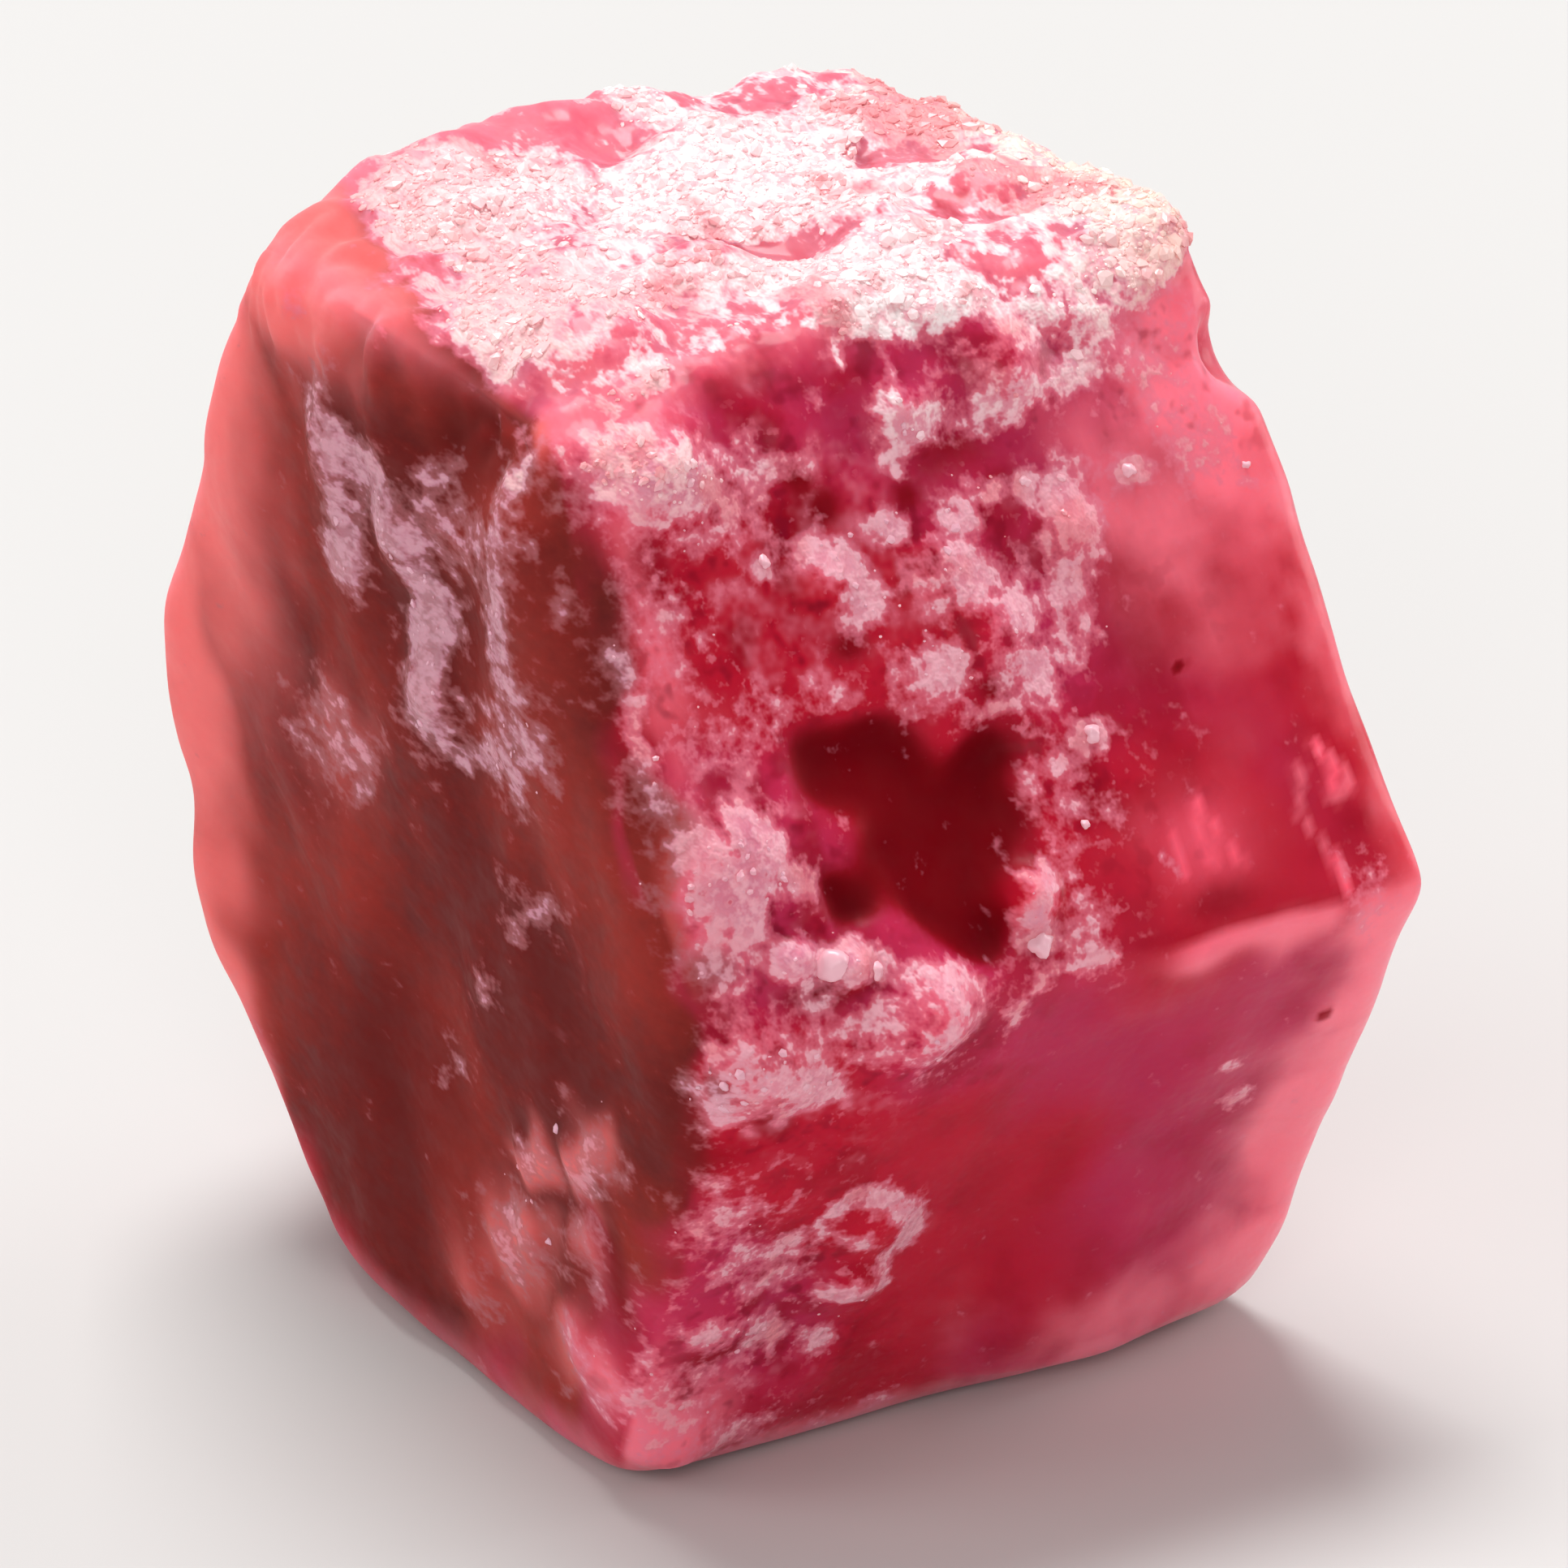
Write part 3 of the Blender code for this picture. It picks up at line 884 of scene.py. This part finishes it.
def grainWeights(triangles, crust, haze, deep, onTop):  # how thick grains lie on each triangle
    weight = np.clip((crust - grains["crustFrom"]) / grains["crustSpan"], 0.0, 1.0)
    weight = weight ** grains["crustPower"]
    weight *= grains["shareBelow"] + (1.0 - grains["shareBelow"]) * onTop
    middles = triangles.mean(axis=1) / mm - np.array(crystal["axisMiddle"])
    flocks = smoothStep(noiseField(middles, *grains["flocks"]), *grains["flocksFrom"])
    shallow = np.clip(1.0 - deep, 0.0, 1.0)
    weight += grains["specksInHaze"] * haze**2 * flocks * crust * shallow
    return weight * (triangles[:, :, 2].mean(axis=1) / mm > grains["clearOfFloor"])


def grainSizes(random, crust, onTop):
    largest = grains["largestBelow"] + (grains["largest"] - grains["largestBelow"]) * onTop
    draw = random.random(len(crust)) ** grains["mostlySmall"]
    size = grains["smallest"] + (largest - grains["smallest"]) * draw
    thick = smoothStep(crust, *grains["thinCrust"])
    return size * (grains["smallerWhereThin"] + (1.0 - grains["smallerWhereThin"]) * thick) * mm


def grainShapes(random, bm, sites, outward, size):  # returns how many corners a grain has
    count = len(sites)
    bmesh.ops.create_icosphere(bm, subdivisions=1, radius=1.0)
    for _ in range(grains["doublings"]):
        bmesh.ops.duplicate(bm, geom=bm.verts[:] + bm.edges[:] + bm.faces[:])
    shape = np.array([vert.co for vert in bm.verts]).reshape(count, -1, 3)
    corners = shape.shape[1]
    lumps = random.uniform(*grains["lumpiness"], (count, corners, 1))
    shape *= lumps * random.uniform(*grains["stretch"], (count, 1, 3))
    shape[:, :, 2] *= random.uniform(*grains["flatness"], (count, 1))
    side = np.cross(outward, random.normal(size=(count, 3)))
    side /= np.linalg.norm(side, axis=1)[:, None]
    frames = np.stack([side, np.cross(outward, side), outward], axis=1)
    shape = np.einsum("nij,njk->nik", shape, frames) * size[:, None, None]
    shape += (sites + outward * (size * (0.5 - grains["sunk"]))[:, None])[:, None, :]
    for vert, place in zip(bm.verts, shape.reshape(-1, 3)):
        vert.co = place
    return corners


def pearl(bm, triangles, cross, face, along, up, radius):  # returns how many corners it has
    middle, alongWay, upWay = faceAxes(face)
    spot = (middle + alongWay * along + upWay * up + crystal["axisMiddle"]) * mm
    nearest = np.argmin(np.linalg.norm(triangles[:, 0] - np.array(spot), axis=1))
    inward = Vector(cross[nearest]).normalized() * -pearlSunk * radius * mm
    centre = Vector(triangles[nearest, 0]) + inward
    made = bmesh.ops.create_icosphere(
        bm, subdivisions=3, radius=radius * mm, matrix=Matrix.Translation(centre)
    )
    for vert in made["verts"]:
        lump = sum(noise.noise(vert.co * (scale / radius)) * high for scale, high in pearlLumps)
        vert.co += (vert.co - centre) * lump
    for part in {part for vert in made["verts"] for part in vert.link_faces}:
        part.smooth = True
    return len(made["verts"])


def grainsPiece(crystalMesh):
    random = np.random.default_rng(grains["seed"])
    triangles, cross, (crust, haze, deep) = crystalSkin(crystalMesh)
    area = np.linalg.norm(cross, axis=1)
    height = triangles[:, :, 2].mean(axis=1) / mm - crystal["axisMiddle"].z
    onTop = smoothStep(height, *grains["topFrom"])
    weight = grainWeights(triangles, crust, haze, deep, onTop) * area
    count = 2 ** grains["doublings"]
    chosen = random.choice(len(area), size=count, p=weight / weight.sum())
    shares = random.dirichlet((1.0, 1.0, 1.0), count)
    sites = (triangles[chosen] * shares[:, :, None]).sum(axis=1)
    outward = cross[chosen] / area[chosen][:, None]
    size = grainSizes(random, crust[chosen], onTop[chosen])
    bm = bmesh.new()
    corners = grainShapes(random, bm, sites, outward, size)
    tones = grains["darkest"] + (1.0 - grains["darkest"]) * random.random(count)
    tones = np.repeat(tones, corners)
    for row in pearls:
        tones = np.append(tones, np.ones(pearl(bm, triangles, cross, *row)))
    middles = np.array([vert.co for vert in bm.verts]) / mm - np.array(crystal["axisMiddle"])
    piece = newPiece("crust_grains", bm)
    blush = smoothStep(-mottleField(middles), *tints["blush"])
    blush *= smoothStep(middles[:, 0], *grains["cleanFrom"])
    # the grains' blush takes in the warm coral's painted rim light too
    blush = np.maximum(blush, lookAmount(middles, "warmAndRimLight")) * tints["blushShare"]
    addAmounts(piece.data, "tone", tones)
    addAmounts(piece.data, "blush", blush * (tones < 1.0))
    print("grains:", count, "and pearls:", len(pearls))
    return piece


class Wire:  # a shader socket that arithmetic works on
    def __init__(self, tree, socket=None):
        self.tree = tree
        self.socket = socket

    def node(self, kind, settings=None, values=None, out=0):
        made = self.tree.nodes.new(kind)
        for name, value in (settings or {}).items():
            setattr(made, name, value)
        for name, value in (values or {}).items():
            if isinstance(value, Wire):
                self.tree.links.new(value.socket, made.inputs[name])
            else:
                made.inputs[name].default_value = value
        return Wire(self.tree, made.outputs[out])

    def maths(self, operation, a, b, clamp=False):
        settings = {"operation": operation, "use_clamp": clamp}
        return self.node("ShaderNodeMath", settings, {0: a, 1: b})

    def __add__(self, other):
        return self.maths("ADD", self, other)

    def __radd__(self, other):
        return self.maths("ADD", other, self)

    def __sub__(self, other):
        return self.maths("SUBTRACT", self, other)

    def __rsub__(self, other):
        return self.maths("SUBTRACT", other, self)

    def __mul__(self, other):
        return self.maths("MULTIPLY", self, other)

    def __rmul__(self, other):
        return self.maths("MULTIPLY", other, self)

    def step(self, low, high, bottom=0.0, top=1.0):
        return self.node(
            "ShaderNodeMapRange",
            {"interpolation_type": "SMOOTHSTEP"},
            {"Value": self, "From Min": low, "From Max": high, "To Min": bottom, "To Max": top},
        )

    def attribute(self, name):
        return self.node("ShaderNodeAttribute", {"attribute_name": name}, out=2)

    def noise(self, place, scale, detail, roughness):
        values = {"Vector": place, "Scale": scale, "Detail": detail, "Roughness": roughness}
        return self.node("ShaderNodeTexNoise", values=values)

    def bump(self, height, strength, distance):
        values = {"Strength": strength, "Distance": distance, "Height": height}
        return self.node("ShaderNodeBump", values=values)

    def blend(self, share, a, b):
        return self.node("ShaderNodeMix", {"data_type": "RGBA"}, {0: share, 6: a, 7: b}, out=2)

    def place(self):  # millimetres from the middle of the crystal's axis, drawn out along Y
        spot = self.node("ShaderNodeTexCoord", out=3)
        shift = tuple(-v * s for v, s in zip(crystal["axisMiddle"], skinScale))
        values = {"Vector": spot, "Location": shift, "Scale": tuple(skinScale / mm)}
        return self.node("ShaderNodeMapping", values=values)

    def axis(self, place, index):
        return self.node("ShaderNodeSeparateXYZ", values={"Vector": place}, out=index)

    def finish(self, surface):
        output = self.tree.nodes.new("ShaderNodeOutputMaterial")
        self.tree.links.new(surface.socket, output.inputs["Surface"])


def newMaterial(name):
    material = bpy.data.materials.new(name)
    material.use_nodes = True
    material.node_tree.nodes.clear()
    return material, Wire(material.node_tree)


def srgb(r, g, b):  # a colour as screens state it, 0 to 255, as the linear value shaders take
    def linear(v):
        v /= 255.0
        return v / 12.92 if v <= 0.04045 else ((v + 0.055) / 1.055) ** 2.4

    return (linear(r), linear(g), linear(b), 1.0)


beryl = {
    "crimson": srgb(186, 20, 48),
    "raspberry": srgb(186, 40, 82),
    "deepRed": srgb(146, 4, 26),
    "hollow": srgb(124, 0, 12),
    "coral": srgb(246, 122, 142),
    "rimLightPink": srgb(236, 136, 150),
    "brown": srgb(138, 42, 36),
    "umber": srgb(98, 24, 22),
    "salmon": srgb(230, 108, 108),
    "film": srgb(224, 122, 144),
    "mauve": srgb(206, 134, 160),
    "ashMauve": srgb(200, 148, 158),
    "paleMauve": srgb(222, 164, 184),
    "ashFilm": srgb(164, 100, 106),
    "pore": srgb(132, 8, 34),
    "crustPink": srgb(240, 182, 195),
    "crustWhite": srgb(255, 240, 240),
    "topPink": srgb(246, 192, 198),
    "topFilm": srgb(226, 116, 132),
    "cream": srgb(252, 226, 210),
    "blush": srgb(230, 130, 138),
    "gleam": srgb(255, 104, 130),
}

# The three surfaces. The gem's light spreads 1 mm in red, and less in green and blue.
gemSurface = {
    "IOR": 1.57,
    "Specular IOR Level": 0.06,
    "Coat Roughness": 0.12,
    "Subsurface Weight": 1.0,
    "Subsurface Radius": (1.0, 0.16, 0.18),
    "Subsurface Scale": 1.0 * mm,
}
chalkSurface = {"Roughness": 0.45, "IOR": 1.5, "Specular IOR Level": 0.35}
grainSurface = {"Roughness": 0.3, "IOR": 1.5}
gemBump = (0.5, 0.05 * mm)  # strength, height
chalkBump = (0.7, 0.07 * mm)


def crustTone(w, place, share):  # mauve below, pink in the middle, white to cream on top
    x, z = w.axis(place, 0), w.axis(place, 2)
    nearEnd = x.step(-2.2, -2.7)
    # Mauve and pink are crust colours; on the crystal the share noise also lays them in as painted
    # shade between the crust's lumps, mauve below and pink on top. On the grains the share is each
    # grain's own tone.
    tone = w.blend(share, beryl["mauve"], beryl["crustPink"])
    ash = w.blend(share, beryl["ashMauve"], beryl["paleMauve"])
    tone = w.blend(nearEnd * 0.8, tone, ash)
    creamy = x.step(1.4, 3.0) + x.step(-1.0, -2.2) * 0.6
    white = w.blend(creamy, beryl["crustWhite"], beryl["cream"])
    # on the crystal the pink between the top crust's lumps is painted shade
    white = w.blend(share * x.step(-0.6, -2.0, 1.0, 0.45), beryl["topPink"], white)
    return w.blend((z + share * 0.5).step(3.5, 4.4), tone, white)


def bareTone(w, brown, coarse, fine):  # the crystal's colours, from clear red to earthy brown; the brown is partly painted shade, and the coral, pink rims and gleam are painted light
    body = w.blend(w.attribute("cloud"), beryl["crimson"], beryl["raspberry"])
    body = w.blend(w.attribute("shade"), body, beryl["deepRed"])
    earthShare = w.attribute("earth") + coarse * 0.9 + fine * 0.6
    body = w.blend(brown, body, w.blend(earthShare, beryl["umber"], beryl["brown"]))
    # coral and salmon: painted rim light and painted floor reflection, and the coral of the knobs
    # and healed cracks
    body = w.blend(w.attribute("warmAndRimLight"), body, w.blend(brown, beryl["coral"], beryl["salmon"]))
    # painted rim light: pink along the edges that light shines through
    body = w.blend(w.attribute("rim"), body, beryl["rimLightPink"])
    return w.blend(w.attribute("gleam"), body, beryl["gleam"])


def berylMaterial():
    material, w = newMaterial("beryl")
    place = w.place()
    fleck = w.noise(place, 4.0, 2.0, 0.6)
    speck = w.noise(place, 11.0, 2.0, 0.65)
    coarse, fine = fleck - 0.5, speck - 0.5
    crust, haze, brown, deep = (w.attribute(name) for name in ("crust", "haze", "brown", "deep"))
    clean = 1.0 - brown
    onTop = w.axis(place, 2).step(3.6, 4.1)
    # the brown-red off the top, partly painted shade, greys the film and the crust
    brownShadeBelowTop = brown * (1.0 - onTop)
    filmTone = w.blend(brownShadeBelowTop, beryl["film"], beryl["ashFilm"])
    body = bareTone(w, brown, coarse, fine)
    veil = (coarse * 1.6 + haze * 0.55).step(0.35, 0.95, 0.0, 0.75)
    specks = (fine + coarse * 0.5).step(0.07, 0.15, 0.0, 0.8) * (crust * 1.6 + haze * 0.15) * clean
    body = w.blend(w.maths("MAXIMUM", veil * haze, specks, True), body, filmTone)
    body = w.blend((-0.06 - coarse).step(0.0, 0.14) * haze * clean * 0.8, body, beryl["pore"])
    # deep: darker red pores and patches, and painted shade in the hollows, down to the hollow
    # colour at the bottom of the deep hollow
    pocket = deep + coarse * 0.3
    body = w.blend(pocket.step(0.05, 0.75), body, w.blend(brown, beryl["deepRed"], beryl["umber"]))
    body = w.blend(pocket.step(0.50, 1.10), body, beryl["hollow"])
    field = crust + coarse * 0.95 + fine * 0.65
    body = w.blend(field.step(0.18, 0.42, 0.0, 0.65), body, filmTone)
    behindEdge = w.axis(place, 1).step(-1.10, -0.90)  # the top face without the upper front one
    topShare = onTop * clean * behindEdge
    body = w.blend(topShare * coarse.step(-0.15, 0.15, 0.35, 0.9), body, beryl["topFilm"])
    # this share noise lays the darker crust tone in as painted shade between the crust's lumps
    tone = crustTone(w, place, (coarse * 1.2 + fine * 1.2).step(-0.25, 0.18))
    rind = w.blend(brownShadeBelowTop, beryl["crustPink"], beryl["mauve"])
    tone = w.blend(field.step(0.66, 0.46, 0.0, 0.8), tone, rind)
    tone = w.blend(w.attribute("blush"), tone, beryl["blush"])
    dense = fine.step(-0.08, 0.08, 0.50, 0.72) + onTop * 0.22 - brown * 0.06
    wet = {
        "Base Color": body,
        "Roughness": brown * 0.3 + deep * 0.3 + fleck.step(0.3, 0.7, 0.28, 0.5),
        "Coat Weight": (haze + brown * 2.0 + deep * 2.0).step(1.0, 0.0, 0.0, 0.3),
        "Normal": w.bump(fleck, *gemBump),
    }
    dry = {"Base Color": tone, "Normal": w.bump(speck, *chalkBump)}
    under = w.node("ShaderNodeBsdfPrincipled", values={**gemSurface, **wet})
    over = w.node("ShaderNodeBsdfPrincipled", values={**chalkSurface, **dry})
    mixed = {0: field.step(0.40, 0.52) * dense, 1: under, 2: over}
    w.finish(w.node("ShaderNodeMixShader", values=mixed))
    return material


def grainMaterial():
    material, w = newMaterial("crust_grain")
    tone = crustTone(w, w.place(), w.attribute("tone"))
    tone = w.blend(w.attribute("blush"), tone, beryl["blush"])
    values = {**grainSurface, "Base Color": tone}
    w.finish(w.node("ShaderNodeBsdfPrincipled", values=values))
    return material


room = {  # in metres
    "floorWidth": 1.6,
    "floor": {"Base Color": (0.60, 0.59, 0.58, 1.0), "Roughness": 0.7},
    "sky": {"Color": (1.0, 0.98, 0.97, 1.0), "Strength": 0.35},
    "aim": Vector((0.0, 0.0, 0.004)),
    "lights": {  # place, width, power in watts
        "key": ((0.02, 0.05, 0.17), 0.08, 0.30),
        "front": ((-0.10, -0.20, 0.10), 0.12, 0.20),
        "right": ((0.18, -0.02, 0.05), 0.10, 0.12),
        "left": ((-0.16, 0.08, 0.06), 0.10, 0.10),
    },
}


def studio():
    bpy.ops.mesh.primitive_plane_add(size=room["floorWidth"])
    floor = bpy.context.object
    floor.name = "floor"
    material, w = newMaterial("floor")
    w.finish(w.node("ShaderNodeBsdfPrincipled", values=room["floor"]))
    floor.data.materials.append(material)
    world = bpy.data.worlds.new("studio")
    world.use_nodes = True
    for name, value in room["sky"].items():
        world.node_tree.nodes["Background"].inputs[name].default_value = value
    bpy.context.scene.world = world
    for name, (spot, size, power) in room["lights"].items():
        lamp = bpy.data.lights.new(name, "AREA")
        lamp.size = size
        lamp.energy = power
        light = bpy.data.objects.new(name, lamp)
        light.location = spot
        aim = room["aim"] - Vector(spot)
        light.rotation_euler = aim.to_track_quat("-Z", "Y").to_euler()
        bpy.context.scene.collection.objects.link(light)


view = {  # angles in degrees, lengths in millimetres
    "elevation": 23.3,
    "towardsNearEnd": 24.2,
    "roll": 5.6,
    "distance": 120.0,
    "frameWidth": 11.592,
    "offCentre": 0.066,
    "sensor": 36.0,
    "clip": (1.0, 10000.0),
}


def takeCamera():
    e, p, r = (math.radians(view[k]) for k in ("elevation", "towardsNearEnd", "roll"))
    back = Vector((-math.sin(p) * math.cos(e), -math.cos(p) * math.cos(e), math.sin(e)))
    level = Vector((math.cos(p), -math.sin(p), 0.0))
    upright = back.cross(level)
    right = level * math.cos(r) - upright * math.sin(r)
    up = back.cross(right)
    lens = bpy.data.cameras.new("camera")
    lens.sensor_width = view["sensor"]
    lens.lens = view["sensor"] * view["distance"] / view["frameWidth"]
    lens.clip_start, lens.clip_end = (distance * mm for distance in view["clip"])
    camera = bpy.data.objects.new("camera", lens)
    target = crystal["axisMiddle"] + (right - up) * view["offCentre"]
    turn = Matrix((right, up, back)).transposed().to_4x4()
    camera.matrix_world = Matrix.Translation((target + back * view["distance"]) * mm) @ turn
    bpy.context.scene.collection.objects.link(camera)
    bpy.context.scene.camera = camera


bpy.context.scene.view_settings.view_transform = "Standard"
takeCamera()
body = crystalPiece()
body.data.materials.append(berylMaterial())
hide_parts("red_beryl_crystal")
crustGrains = grainsPiece(body.data)
crustGrains.data.materials.append(grainMaterial())
for piece in (body, crustGrains):
    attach(piece, "root")
studio()
